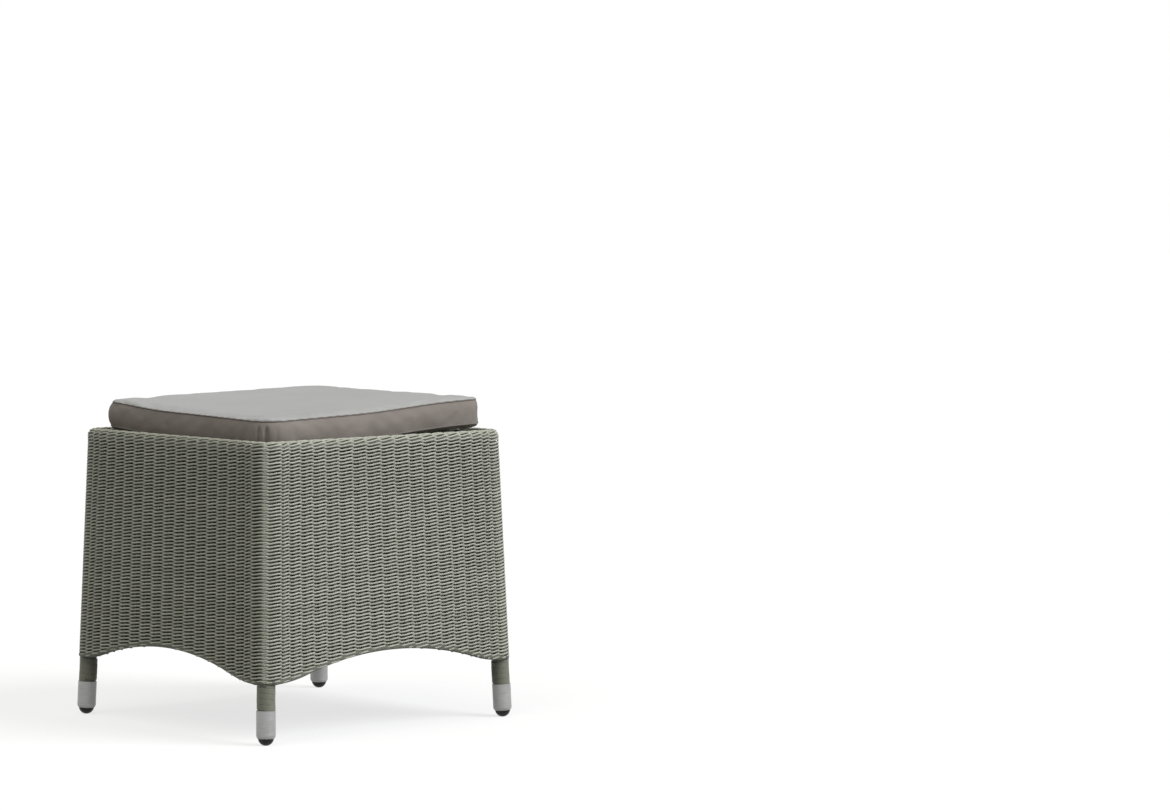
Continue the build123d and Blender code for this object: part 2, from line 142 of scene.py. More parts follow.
class Nodes:
    """Short forms for building the node tree of a material or a world."""

    def __init__(self, owner):
        self.owner = owner
        owner.use_nodes = True
        self.tree = owner.node_tree
        self.shader = self.tree.nodes.get("Principled BSDF")

    def add(self, kind, **settings):
        node = self.tree.nodes.new(kind)
        for key, value in settings.items():
            setattr(node, key, value)
        return node

    def link(self, source, target):
        self.tree.links.new(source, target)

    def put(self, target, value):
        """Links a socket, or sets a plain value."""
        if isinstance(value, bpy.types.NodeSocket):
            self.link(value, target)
        else:
            target.default_value = value

    def place(self, scale=(1, 1, 1)):
        """The object's own coordinates, scaled."""
        coordinates = self.add("ShaderNodeTexCoord").outputs["Object"]
        mapping = self.add("ShaderNodeMapping")
        mapping.inputs["Scale"].default_value = scale
        self.link(coordinates, mapping.inputs["Vector"])
        return mapping.outputs["Vector"]

    def noise(self, vector, scale, detail=3.0, roughness=0.5):
        """Cloudy noise. The scale is in waves to the metre."""
        node = self.add("ShaderNodeTexNoise")
        self.link(vector, node.inputs["Vector"])
        node.inputs["Scale"].default_value = scale
        node.inputs["Detail"].default_value = detail
        node.inputs["Roughness"].default_value = roughness
        return node.outputs["Fac"]

    def wave(self, vector, scale, direction, distortion=0.0):
        """Even bands across one axis."""
        node = self.add("ShaderNodeTexWave", bands_direction=direction)
        self.link(vector, node.inputs["Vector"])
        node.inputs["Scale"].default_value = scale
        node.inputs["Distortion"].default_value = distortion
        node.inputs["Detail"].default_value = 1.0
        return node.outputs["Fac"]

    def math(self, operation, first, second=0.0):
        node = self.add("ShaderNodeMath", operation=operation)
        self.put(node.inputs[0], first)
        self.put(node.inputs[1], second)
        return node.outputs[0]

    def span(self, value, low, high, new_low=0.0, new_high=1.0):
        """Maps a value's range to another, clamped."""
        node = self.add("ShaderNodeMapRange")
        self.link(value, node.inputs["Value"])
        node.inputs["From Min"].default_value = low
        node.inputs["From Max"].default_value = high
        node.inputs["To Min"].default_value = new_low
        node.inputs["To Max"].default_value = new_high
        return node.outputs["Result"]

    def mix(self, factor, first, second):
        """Blends two colours."""
        node = self.add("ShaderNodeMix", data_type="RGBA")
        self.put(node.inputs["Factor"], factor)
        self.put(node.inputs["A"], first)
        self.put(node.inputs["B"], second)
        return node.outputs["Result"]

    def height(self):
        """Height above the floor."""
        node = self.add("ShaderNodeSeparateXYZ")
        self.link(self.place(), node.inputs["Vector"])
        return node.outputs["Z"]

    def attribute(self, name):
        """A value that the mesh's points carry."""
        return self.add("ShaderNodeAttribute", attribute_name=name).outputs["Fac"]

    def seen(self):
        """1 where the surround is looked at, straight or in a reflection, and 0 where it gives light."""
        path = self.add("ShaderNodeLightPath").outputs
        either = self.math("MAXIMUM", path["Is Camera Ray"], path["Is Glossy Ray"])
        return self.math("MAXIMUM", either, path["Is Transmission Ray"])

    def bump(self, height, distance, strength=1.0):
        """Fine relief on the shader's normal."""
        node = self.add("ShaderNodeBump")
        self.link(height, node.inputs["Height"])
        node.inputs["Distance"].default_value = distance
        node.inputs["Strength"].default_value = strength
        self.link(node.outputs["Normal"], self.shader.inputs["Normal"])

    def finish(self, colour, roughness, metallic=0.0, specular=0.5):
        """Sets the shader's main inputs and returns the material."""
        self.put(self.shader.inputs["Base Color"], colour)
        self.put(self.shader.inputs["Roughness"], roughness)
        self.put(self.shader.inputs["Metallic"], metallic)
        self.shader.inputs["Specular IOR Level"].default_value = specular
        return self.owner


def material_nodes(name):
    """The nodes of a new material."""
    return Nodes(bpy.data.materials.new(name))


def strand_material(name, pale, dark):
    """Extruded synthetic rattan: each strand a little lighter or darker, finely ribbed."""
    nodes = material_nodes(name)
    blotch = nodes.noise(nodes.place(), 34, 4, 0.6)
    streak = nodes.noise(nodes.place((1, 1, 9)), 160, 3, 0.6)
    tint = nodes.math("MULTIPLY", nodes.attribute("tint"), 0.62)
    shade = nodes.math("ADD", tint, nodes.span(blotch, 0.3, 0.7, 0, 0.26))
    shade = nodes.math("ADD", shade, nodes.span(streak, 0.3, 0.7, 0, 0.16))
    colour = nodes.mix(shade, dark, pale)
    nodes.bump(nodes.noise(nodes.place((1, 1, 5)), 900, 2), 0.12 * MM, 0.5)
    return nodes.finish(colour, nodes.span(blotch, 0.3, 0.7, 0.42, 0.6), specular=0.42)


def brushed_material():
    """Brushed metal with fine lines round the sleeve, dulled and scratched near the floor."""
    nodes = material_nodes("sleeve_brushed")
    lines = nodes.noise(nodes.place((30, 30, 900)), 1.6, 4, 0.65)
    smear = nodes.noise(nodes.place(), 45, 3)
    worn = nodes.span(nodes.height(), 12 * MM, 26 * MM, 0.10, 0.0)
    tone = nodes.mix(nodes.span(lines, 0.35, 0.65), linear(156, 156, 156), linear(178, 178, 177))
    colour = nodes.mix(nodes.span(smear, 0.45, 0.75, 0.0, 0.35), tone, linear(142, 141, 138))
    rough = nodes.math("ADD", nodes.span(lines, 0.3, 0.7, 0.30, 0.42), worn)
    nodes.bump(lines, 0.05 * MM, 0.5)
    return nodes.finish(colour, rough, metallic=0.5)


def glide_material():
    """Black moulded plastic, scuffed towards its tip."""
    nodes = material_nodes("glide_black")
    grain = nodes.noise(nodes.place(), 420, 4, 0.7)
    tip = nodes.span(nodes.height(), 0.5 * MM, 6 * MM, 1.0, 0.0)
    scuff = nodes.math("MULTIPLY", tip, nodes.span(grain, 0.45, 0.7))
    colour = nodes.mix(scuff, linear(14, 14, 15), linear(44, 43, 41))
    nodes.bump(grain, 0.08 * MM, 0.4)
    return nodes.finish(colour, nodes.span(grain, 0.3, 0.7, 0.38, 0.55), specular=0.28)


def coated_material():
    """Powder-coated aluminium of the frame, with a fine orange peel."""
    nodes = material_nodes("frame_coated")
    peel = nodes.noise(nodes.place(), 700, 2)
    dust = nodes.noise(nodes.place(), 28, 4, 0.6)
    colour = nodes.mix(nodes.span(dust, 0.4, 0.7), linear(78, 77, 70), linear(90, 88, 80))
    nodes.bump(peel, 0.06 * MM, 0.5)
    return nodes.finish(colour, nodes.span(dust, 0.3, 0.7, 0.42, 0.55), metallic=0.15)


def cloth_material(name, light, deep, thread, mottle):
    """Plain-woven polyester: two crossing sets of threads under a soft uneven tone."""
    nodes = material_nodes(name)
    cloud = nodes.noise(nodes.place(), mottle, 4, 0.55)
    slub = nodes.noise(nodes.place((1, 1, 6)), 260, 3, 0.6)
    warp = nodes.wave(nodes.place(), thread, "X", 0.6)
    weft = nodes.wave(nodes.place(), thread, "Y", 0.6)
    rise = nodes.wave(nodes.place(), thread, "Z", 0.6)
    weave = nodes.math("ADD", nodes.math("MULTIPLY", warp, weft), nodes.math("MULTIPLY", rise, 0.5))
    shade = nodes.math("ADD", nodes.span(cloud, 0.32, 0.68, 0, 0.7), nodes.span(slub, 0.3, 0.7, 0, 0.3))
    nodes.bump(weave, 0.12 * MM, 0.35)
    nodes.shader.inputs["Sheen Weight"].default_value = 0.06
    nodes.shader.inputs["Sheen Roughness"].default_value = 0.5
    return nodes.finish(nodes.mix(shade, deep, light), nodes.span(slub, 0.3, 0.7, 0.82, 0.95), specular=0.2)


strand_cover = strand_material("strand_grey", linear(186, 187, 176), linear(146, 147, 133))
# The inner strands and the stakes: the outer strands' colour darkened, as painted shade seen through the
# gaps
backing_shade_cover = strand_material("strand_inner_shade", linear(92, 93, 84), linear(74, 75, 67))
# The arch borders: the strands' colour darkened, as painted shade along the lower edge
edge_shade_cover = strand_material("strand_edge_shade", linear(122, 123, 111), linear(98, 99, 87))
leg_strand_cover = strand_material("strand_leg", linear(129, 130, 118), linear(106, 107, 93))
sleeve_cover = brushed_material()
glide_cover = glide_material()
frame_cover = coated_material()
top_cover = cloth_material("cloth_top", linear(168, 168, 168), linear(160, 160, 160), 900, 7)
band_cover = cloth_material("cloth_band", linear(145, 137, 132), linear(128, 120, 115), 900, 16)
# Seam cords and band joins: real seams, coloured darker than the band as painted shade along the seam lines
seam_shade_cover = cloth_material("cloth_seam_shade", linear(128, 122, 118), linear(112, 106, 102), 1400, 40)
zip_cover = cloth_material("cloth_zip", linear(104, 95, 89), linear(92, 84, 79), 1100, 30)


def new_piece(name, mesh, cover, body, *replaced, slot=None):
    """Puts a mesh in the scene as a piece that rides on a body and stands for CAD nodes."""
    piece = bpy.data.objects.new(name, mesh)
    bpy.context.scene.collection.objects.link(piece)
    mesh.materials.clear()
    mesh.materials.append(cover)
    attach(piece, body)
    if replaced:
        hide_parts(*replaced)
    return piece


# Strands: round or flat tubes that follow points, gathered into one mesh. A tint runs from 0 to 1.
MID_TINT = 0.5


class Strands:
    def __init__(self, sides=6, power=1.0):
        """The lower the power, the flatter the faces and the tighter the corners of a section."""
        self.sides = sides
        turn = (np.arange(sides) + 0.5) * 2 * math.pi / sides
        self.cos, self.sin = (
            (np.sign(part) * np.abs(part) ** power)[None, :, None] for part in (np.cos(turn), np.sin(turn))
        )
        self.points, self.quads, self.caps, self.tints = [], [], [], []
        self.count = 0

    def add(self, path, up, tint, width=STRAND, height=None):
        """One strand along path. up is the direction that its height lies towards."""
        path = np.asarray(path, float)
        along = np.gradient(path, axis=0)
        along /= np.linalg.norm(along, axis=1)[:, None]
        side = np.cross(along, up)
        side /= np.linalg.norm(side, axis=1)[:, None]
        rise = np.cross(side, along)
        height = width if height is None else height
        ring = path[:, None] + self.cos * side[:, None] * width / 2 + self.sin * rise[:, None] * height / 2
        sides, steps = self.sides, len(path)
        step = np.arange(steps - 1)[:, None] * sides + self.count
        near, far = step + np.arange(sides), step + (np.arange(sides) + 1) % sides
        self.quads.append(np.stack([near, near + sides, far + sides, far], -1).reshape(-1, 4))
        first = self.count + np.arange(sides)
        self.caps.append(np.stack([first, (first + (steps - 1) * sides)[::-1]]))
        self.points.append(ring.reshape(-1, 3))
        self.tints.append(np.repeat(np.broadcast_to(tint, steps), sides))
        self.count += steps * sides

    def mesh(self, name):
        """All the strands as one mesh, with their tints as an attribute of its points."""
        quads, caps = np.concatenate(self.quads), np.concatenate(self.caps)
        mesh = bpy.data.meshes.new(name)
        mesh.vertices.add(self.count)
        mesh.vertices.foreach_set("co", np.concatenate(self.points).astype(np.float32).ravel())
        mesh.loops.add(quads.size + caps.size)
        mesh.loops.foreach_set("vertex_index", np.concatenate([quads.ravel(), caps.ravel()]))
        mesh.polygons.add(len(quads) + len(caps))
        starts = [np.arange(len(quads)) * 4, quads.size + np.arange(len(caps)) * self.sides]
        mesh.polygons.foreach_set("loop_start", np.concatenate(starts))
        mesh.update(calc_edges=True)
        smooth = np.arange(len(quads) + len(caps)) < len(quads)
        mesh.polygons.foreach_set("use_smooth", smooth)
        tint = mesh.attributes.new("tint", "FLOAT", "POINT")
        tint.data.foreach_set("value", np.concatenate(self.tints).astype(np.float32))
        return mesh


# Woven pairs: two strands twined round the stakes, one outside while the other is inside. They cross
# between the stakes and at mid corner, one above the other, and slant up to the right where they lie
# outside. A strand is drawn by its runs from the face's middle along the outer edge, by its sinks, which
# are 0 where it is outermost and 1 where it is innermost, and by its twists above the pair's middle.
PAIR_PITCH = 4.96 * MM
ROW_WIDTH = 2.75 * MM
stake_turns = STAKE_FAN_ANGLE * (np.arange(STAKES) * 2 / (STAKES - 1) - 1)
stake_shares = STAKE_REACH_SHARE * np.sin(stake_turns) / math.sin(STAKE_FAN_ANGLE)
TWIST = 1.2 * MM
SNAP_POWER = 0.6
SINK_POWER = 1.4
CROSSING_SHARE = 0.2
COLUMN_PARTS = np.array([0, 0.14, 0.3, 0.5, 0.7, 0.86])
CORNER_STEPS = 9
CORNER_FLAT_SHARE = 0.04
CORNER_RUN = CORNER_RADIUS * math.pi / 4
CORNER_LAP = 0.5 * MM
ROW_OUTER = ROW_WIDTH / 2
ROW_INNER = WALL_THICKNESS - ROW_WIDTH / 2


def column_edges(half):
    """Where the strands cross: beside the legs and between the stakes."""
    stakes = half * stake_shares
    last = (stakes[-1] + STAKE / 2 + half - LEG_INSET - LEG_RADIUS) / 2
    return np.concatenate([[-last], (stakes[1:] + stakes[:-1]) / 2, [last]])


def strand_stations(half, parity, jitter):
    """Runs, sinks, twists and tucks of one strand of a pair, from mid corner to mid corner.

    Away from the crossings, the inner strand lies right behind the outer one. At mid corner, both
    lap over the next face's strands a little and tuck in under them."""
    edges = column_edges(half)
    edges[1:-1] += jitter
    end = half - CORNER_RADIUS + CORNER_RUN
    marks = np.concatenate([[-end], edges, [end]])
    first = 1 if parity % 2 else -1
    runs, waves, twists = [[-end - CORNER_LAP]], [[0]], [[-first * TWIST]]
    for column in range(len(marks) - 1):
        part = COLUMN_PARTS if 0 < column < len(marks) - 2 else np.arange(CORNER_STEPS) / CORNER_STEPS
        runs.append(marks[column] + (marks[column + 1] - marks[column]) * part)
        if column == 0:
            part = np.maximum(part - CORNER_FLAT_SHARE, 0) / (1 - CORNER_FLAT_SHARE)
        elif column == len(marks) - 2:
            part = np.minimum(part / (1 - CORNER_FLAT_SHARE), 1)
        sign = first * (-1) ** column
        waves.append(sign * np.sin(math.pi * part) ** SNAP_POWER)
        slant = -TWIST * np.cos(math.pi * part)
        behind = eased(np.minimum(part, 1 - part), 0, CROSSING_SHARE)
        twists.append(slant if sign > 0 else slant * (2 * behind - 1))
    runs = np.concatenate(runs + [[end, end + CORNER_LAP]])
    sinks = ((1 - np.concatenate(waves + [[0, 0]])) / 2) ** SINK_POWER
    twists = np.concatenate(twists + [[sign * TWIST] * 2])
    return runs, sinks, twists, np.maximum(np.abs(runs) - end, 0)


def face_frame(runs, half):
    """Points and outward normals in plan on the front face's outer edge."""
    start = half - CORNER_RADIUS
    turn = np.clip(np.abs(runs) - start, 0, None) / CORNER_RADIUS
    side = np.sign(runs)
    normal = np.stack([side * np.sin(turn), -np.cos(turn)], -1)
    middle = np.stack([np.clip(runs, -start, start), np.full(len(runs), -start)], -1)
    return middle + normal * CORNER_RADIUS, normal


def leg_cover(points, half):
    """How far inside the outer edge the legs' surfaces lie."""
    axis = half - LEG_INSET
    away = np.stack([np.abs(points[:, 0]) - axis, np.abs(points[:, 1]) - axis], -1)
    return np.linalg.norm(away, axis=1) - LEG_RADIUS


# Slow unevenness of hand weaving, the same for pairs that lie close together, and a quick one of each
DRIFT = 0.22 * MM
ROW_WOBBLE = 0.07 * MM
EDGE_JITTER = 0.45 * MM
EDGE_WANDER = 0.9 * MM
CORNER_HOLD_POWER = 8
drift_lengths = np.array([83, 47, 29, 61]) * MM
drift_heights = np.array([71, 37, 53, 23]) * MM
wobble_lengths = np.array([31, 13, 5.2]) * MM
wander_heights = np.array([57, 23]) * MM
drift_phases = rng.uniform(0, 2 * math.pi, (4, 4))
wander_phases = rng.uniform(0, 2 * math.pi, (2, STAKES - 1))
TINT_SPREAD = 0.22
# More rows than any part of the weave has
row_tints = np.clip(rng.normal(MID_TINT, TINT_SPREAD, (200, 3)), 0, 1)


def away_from_corners(runs, half):
    """1 over most of a face and 0 at mid corner, where a strand meets the next face's."""
    return np.clip(1 - (np.abs(runs) / (half - CORNER_RADIUS + CORNER_RUN)) ** CORNER_HOLD_POWER, 0, 1)


def drift(runs, z, quarter, half):
    """How far the pairs stray up or down together."""
    slow = np.sin(runs[:, None] / drift_lengths + drift_phases[quarter])
    slow = slow * np.cos(z / drift_heights + drift_phases[:, quarter])
    return away_from_corners(runs, half) * DRIFT * slow.sum(1)


def wobble(runs, half):
    """How far one strand strays up or down by itself."""
    quick = np.sin(runs[:, None] / wobble_lengths + rng.uniform(0, 2 * math.pi, len(wobble_lengths)))
    return away_from_corners(runs, half) * ROW_WOBBLE * quick.sum(1)


def edge_jitter(z):
    """How far the crossings of a pair stray sideways."""
    slow = np.sin(z / wander_heights[:, None] + wander_phases).mean(0)
    return EDGE_WANDER * slow + rng.normal(0, EDGE_JITTER, STAKES - 1)


# The arch at the lower edge, as heights above its ends
arch_half = half_side(SKIRT_LOW) - LEG_INSET
arch_reach = (arch_half**2 + ARCH_RISE**2) / (2 * ARCH_RISE)
crown_radius = ARCH_CROWN_SHARE * arch_reach
hollow_radius = arch_reach - crown_radius


def arch_height(x):
    """A crown between two hollows that meet the legs level."""
    x = np.minimum(np.abs(x), arch_half)
    crown = ARCH_RISE - crown_radius + np.sqrt(crown_radius**2 - np.minimum(x, crown_radius) ** 2)
    hollow = hollow_radius - np.sqrt(hollow_radius**2 - np.minimum(arch_half - x, hollow_radius) ** 2)
    return np.where(x < ARCH_CROWN_SHARE * arch_half, crown, hollow)


ROD_HEIGHT = SKIRT_LOW + MID_DEPTH
FIRST_ROW_RISE = 0.6 * MM
ROW_START = ROD_HEIGHT + FIRST_ROW_RISE
WALL_PAIRS = int((RIM_BOTTOM - ROW_START) / PAIR_PITCH) + 1
BORDER_LAP = 2.6 * MM
# Hidden strands on the inner side of the stakes, whose ends run into the legs. They and the stakes are
# coloured far darker than the outer strands, as painted shade in the gaps between the rows
BACKING_DEPTH = 7.6 * MM
BACKING_WIDTH, BACKING_HEIGHT = 2.0 * MM, 4.8 * MM
BACKING_STEPS = 17
BACKING_BITE = 4 * MM


def wall_strand(z, parity, quarter, jitter):
    """The centre line of one strand of a pair across a face of the skirt."""
    half = half_side(z)
    runs, sinks, twists, tucks = strand_stations(half, parity + quarter, jitter)
    points, normal = face_frame(runs, half)
    inner = np.minimum(ROW_INNER, leg_cover(points, half) - ROW_WIDTH / 2)
    depth = ROW_OUTER + np.maximum(inner - ROW_OUTER, 0) * sinks + tucks
    rise = twists + drift(runs, z, quarter, half) + wobble(runs, half)
    return np.column_stack([points - normal * depth[:, None], z + rise])


def backing_strand(z, quarter):
    """A straight strand between two pairs, on the inner side of the stakes, from leg to leg."""
    half = half_side(z)
    runs = np.linspace(-1, 1, BACKING_STEPS) * (half - LEG_INSET - BACKING_BITE)
    points, normal = face_frame(runs, half)
    return np.column_stack([points - normal * BACKING_DEPTH, z + drift(runs, z, quarter, half)])


def clipped_rows(line):
    """The parts of a strand that lie above the arch's border or lap over it, from the corners inwards."""
    over = line[:, 2] - ROD_HEIGHT - arch_height(line[:, 0]) + BORDER_LAP
    if (over > 0).all():
        return [line]
    middle = len(line) // 2
    parts = []
    for side in (slice(0, middle + 1), slice(len(line), middle - 1, -1)):
        part, height = line[side], over[side]
        cut = int(np.argmin(height > 0))
        if height[0] > 0 and cut == 0:
            parts.append(part)
        elif height[0] > 0:
            share = height[cut - 1] / (height[cut - 1] - height[cut])
            last = part[cut - 1] + (part[cut] - part[cut - 1]) * share
            parts.append(np.concatenate([part[:cut], [last]]))
    return parts


def woven_walls():
    """The four faces from the arch borders up to the rim, and their hidden inner strands."""
    for quarter, face in enumerate(FACES):
        strands, backing = Strands(), Strands()
        for pair in range(WALL_PAIRS):
            z = ROW_START + pair * PAIR_PITCH
            jitter = edge_jitter(z)
            lines = [wall_strand(z, parity, quarter, jitter) for parity in range(2)]
            for line, tint in zip(lines, row_tints[pair]):
                for part in clipped_rows(line):
                    strands.add(turned(part, quarter), UP, tint, ROW_WIDTH)
            for part in clipped_rows(backing_strand(z + PAIR_PITCH / 2, quarter)):
                backing.add(turned(part, quarter), UP, MID_TINT, BACKING_WIDTH, BACKING_HEIGHT)
        mesh = backing.mesh(f"backing_{face}")
        new_piece(f"backing_{face}", mesh, backing_shade_cover, "stool", slot="strand")
        mesh = strands.mesh(f"weave_{face}")
        new_piece(f"weave_{face}", mesh, strand_cover, "stool", f"woven_wall_{face}", slot="strand")


# Rim: the pairs go on up the rim's outer face, over the ring and down its inside
RIM_SWING = 3.6 * MM
RIM_BEND = RIM_ROUNDING - ROW_OUTER
RIM_FLAT = RIM_WIDTH - 2 * RIM_ROUNDING
RIM_TURN = RIM_BEND * math.pi / 2
RIM_DROP = 5.4 * MM
# How much paler a rim strand is painted where it faces up: a painted highlight along the rim's top
RIM_TOP_HIGHLIGHT = 0.08
RIM_TWIST_SHARE = 1.3
RIM_LEG_ROOM_SLOPE = 3  # how fast the strands get past the leg as they turn over the rim
RING_GAP = 0.3 * MM
shoulder = RIM_HEIGHT - RIM_ROUNDING


def rim_section(reach):
    """Depths, heights, normals and room for swing at reaches along the section from the shoulder."""
    first = np.clip(reach / RIM_BEND, 0, math.pi / 2)
    last = np.clip((reach - RIM_TURN - RIM_FLAT) / RIM_BEND, 0, math.pi / 2)
    below, past = np.minimum(reach, 0), np.maximum(reach - 2 * RIM_TURN - RIM_FLAT, 0)
    depth = RIM_ROUNDING - RIM_BEND * np.cos(first) + np.clip(reach - RIM_TURN, 0, RIM_FLAT)
    depth += RIM_BEND * np.sin(last)
    z = shoulder + RIM_BEND * (np.sin(first) + np.cos(last) - 1) + below - past
    level = z - (RIM_HEIGHT - STRAND - RING_RADIUS)
    ring_depth = RIM_WIDTH / 2 - np.sqrt(np.maximum(RING_RADIUS**2 - level**2, 0))
    swing = np.clip(ring_depth + RING_GAP - ROW_OUTER, RIM_SWING, ROW_INNER - ROW_OUTER)
    return depth, z, np.cos(first + last), np.sin(first + last), np.where(reach < 0, swing, RIM_SWING)


def rim_strand(middle, parity, quarter, jitter):
    """The centre line of one strand of a pair on the front face's rim, and how far up it faces."""
    runs, sinks, twists, tucks = strand_stations(BORDER_HALF, parity + quarter, jitter)
    points, normal = face_frame(runs, BORDER_HALF)
    stray = drift(runs, shoulder + middle, quarter, BORDER_HALF) + wobble(runs, BORDER_HALF)
    share = RIM_TWIST_SHARE if middle > 0 else 1
    reach = middle + twists * share + stray
    depth, z, outward, upward, swing = rim_section(reach)
    room = leg_cover(points, BORDER_HALF) - ROW_WIDTH / 2 - ROW_OUTER
    room += RIM_LEG_ROOM_SLOPE * np.maximum(reach, 0)
    sunk = np.clip(room, 0, swing) * sinks + tucks
    plan = points - normal * (depth + sunk * outward)[:, None]
    return np.column_stack([plan, z - sunk * upward]), upward


def rim_weave():
    """The pairs above the walls, over the rim and down to the end of its inside."""
    strands = Strands()
    start = ROW_START + WALL_PAIRS * PAIR_PITCH - shoulder
    pairs = int((2 * RIM_TURN + RIM_FLAT + RIM_DROP - start) / PAIR_PITCH) + 1
    for pair in range(pairs):
        middle = start + pair * PAIR_PITCH
        for quarter in range(len(FACES)):
            jitter = edge_jitter(shoulder + middle)
            for parity in range(2):
                line, upward = rim_strand(middle, parity, quarter, jitter)
                # Strands are painted paler where they face up, a painted highlight along the rim's top
                tint = np.minimum(1, row_tints[WALL_PAIRS + pair, parity] + RIM_TOP_HIGHLIGHT * upward.clip(0))
                strands.add(turned(line, quarter), UP, tint, ROW_WIDTH)
    new_piece("rim_weave", strands.mesh("rim_weave"), strand_cover, "stool", "rim_border", slot="strand")


# Borders under the arches: thin strands laid along the rod, which sag round the legs. Their colour and
# tints are darker than the walls', as painted shade along the lower edge
BORDER_STRANDS = 12
BORDER_STEPS, BORDER_CORNER_STEPS = 72, 7
BORDER_SAG = 1.6 * MM
BORDER_WIDTH = 1.6 * MM
BORDER_RING = 3.2 * MM
BORDER_SHADE_TINT = 0.35


def border_line(angle):
    """One border strand of the front face, at an angle round the arch rod."""
    half = half_side(ROD_HEIGHT)
    start = half - CORNER_RADIUS
    out, down = BORDER_RING * math.cos(angle), BORDER_RING * math.sin(angle)
    x = np.linspace(-start, start, BORDER_STEPS)
    arch = ROD_HEIGHT + arch_height(x)
    halves = np.array([half_side(z) for z in arch])
    straight = np.column_stack([x, MID_DEPTH - halves - out, arch + down])
    if out < 0:
        return straight
    turn = np.linspace(0, math.pi / 4, BORDER_CORNER_STEPS)[1:]
    points, normal = face_frame(start + CORNER_RADIUS * turn, half)
    depth = np.minimum(MID_DEPTH - out, leg_cover(points, half) - BORDER_WIDTH / 2)
    part = np.sin(turn) / math.sin(math.pi / 4)
    right = np.column_stack([points - normal * depth[:, None], ROD_HEIGHT + down - BORDER_SAG * part])
    return np.concatenate([right[::-1] * (-1, 1, 1), straight, right])


def arch_borders():
    """A ring of strands round each arch rod."""
    angles = np.arange(BORDER_STRANDS) * 2 * math.pi / BORDER_STRANDS
    tints = rng.uniform(0, BORDER_SHADE_TINT, BORDER_STRANDS)
    for quarter, face in enumerate(FACES):
        strands = Strands()
        for angle, tint in zip(angles, tints):
            strands.add(turned(border_line(angle), quarter), UP, tint, BORDER_WIDTH)
        mesh = strands.mesh(f"border_{face}")
        new_piece(f"border_{face}", mesh, edge_shade_cover, "stool", f"arch_border_{face}", slot="strand")


# Deck: strands woven over and under flat strips that run from front to back
DECK_PITCH = 2.4 * MM
DECK_STRIP = 8 * MM
DECK_STRIP_THICKNESS = 1.0 * MM
DECK_COLUMN = 27 * MM
DECK_STEPS, DECK_STRIP_STEPS = 4, 9
DECK_EDGE_GAP = 0.3 * MM
DECK_SIDES = 5
DECK_STRIP_TINT = 0.4


def deck_weave():
    """The recessed seat, row by row, with notches in the rows beside the legs."""
    half = deck_high.x - DECK_EDGE_GAP
    middle = DECK_TOP - STRAND - DECK_STRIP_THICKNESS / 2
    swing = (STRAND + DECK_STRIP_THICKNESS) / 2
    columns = int(half // DECK_COLUMN)
    strands = Strands(DECK_SIDES)
    x = np.linspace(-columns - 0.5, columns + 0.5, (2 * columns + 1) * DECK_STEPS + 1) * DECK_COLUMN
    x = np.concatenate([[-half], x, [half]])
    wave = np.cos(np.pi * x / DECK_COLUMN)
    rows = int(2 * half / DECK_PITCH)
    tints = row_tints.ravel()
    room = half_side(DECK_TOP) - LEG_INSET - LEG_RADIUS - STRAND
    for number in range(rows):
        y = -half + (number + 0.5) * 2 * half / rows
        line = np.stack([x, np.full(len(x), y), middle + swing * wave * (-1) ** number], -1)
        line = line[np.abs(line[:, 0]) < (room if abs(y) > room else half + STRAND)]
        strands.add(line, UP, tints[number])
    y = np.linspace(-half, half, DECK_STRIP_STEPS)
    for column in range(-columns, columns + 1):
        line = np.stack([np.full(len(y), column * DECK_COLUMN), y, np.full(len(y), middle)], -1)
        strands.add(line, UP, DECK_STRIP_TINT, DECK_STRIP, DECK_STRIP_THICKNESS)
    new_piece("deck_weave", strands.mesh("deck_weave"), strand_cover, "stool", "woven_deck", slot="strand")


# Leg windings: a flat strand wound round each leg between the sleeve and the skirt
WINDING_WIDTH = 8.0 * MM
WINDING_THICKNESS = 1.0 * MM
WINDING_PITCH = 8.1 * MM
WINDING_TURNS, WINDING_STEPS = 4.6, 28
WINDING_SIDES, WINDING_FLATNESS = 12, 0.3
WINDING_LOOSE = 0.12 * MM
WINDING_LOOSE_RATE = 0.7
SLEEVE_TOP = 50 * MM


def leg_windings():
    """One winding for each leg, whose first turn lies level on the sleeve."""
    foot, top = leg_point(SLEEVE_TOP), leg_point(RIM_BOTTOM)
    axis = (top - foot) / np.linalg.norm(top - foot)
    side = np.cross(axis, [1.0, 0, 0])
    side /= np.linalg.norm(side)
    front = np.cross(side, axis)
    turns = np.arange(0, WINDING_TURNS, 1 / WINDING_STEPS)
    for quarter, corner in enumerate(CORNERS):
        strands = Strands(WINDING_SIDES, WINDING_FLATNESS)
        angle = 2 * math.pi * turns + rng.uniform(0, 2 * math.pi)
        reach = LEG_RADIUS + WINDING_THICKNESS / 2 + WINDING_LOOSE * np.sin(angle * WINDING_LOOSE_RATE)
        climb = np.maximum(WINDING_WIDTH / 2 + WINDING_PITCH * (turns - 0.5), WINDING_WIDTH / 2)
        line = foot + np.outer(np.cos(angle) * reach, side) + np.outer(np.sin(angle) * reach, front)
        line += np.outer(climb, axis)
        line, up = turned(line, quarter), turned(axis, quarter)
        strands.add(line, up, MID_TINT, WINDING_THICKNESS, WINDING_WIDTH)
        mesh, wrap = strands.mesh(f"winding_{corner}"), f"leg_wrap_{corner}"
        new_piece(f"winding_{corner}", mesh, leg_strand_cover, "stool", wrap, slot="leg_strand")


# Cushion: its measured form, then a cloth simulation that fills the cover out between its seams
CUSHION_HALF = 206 * MM
CUSHION_DRAWN_IN = 2 * MM
CUSHION_BAND = 36 * MM
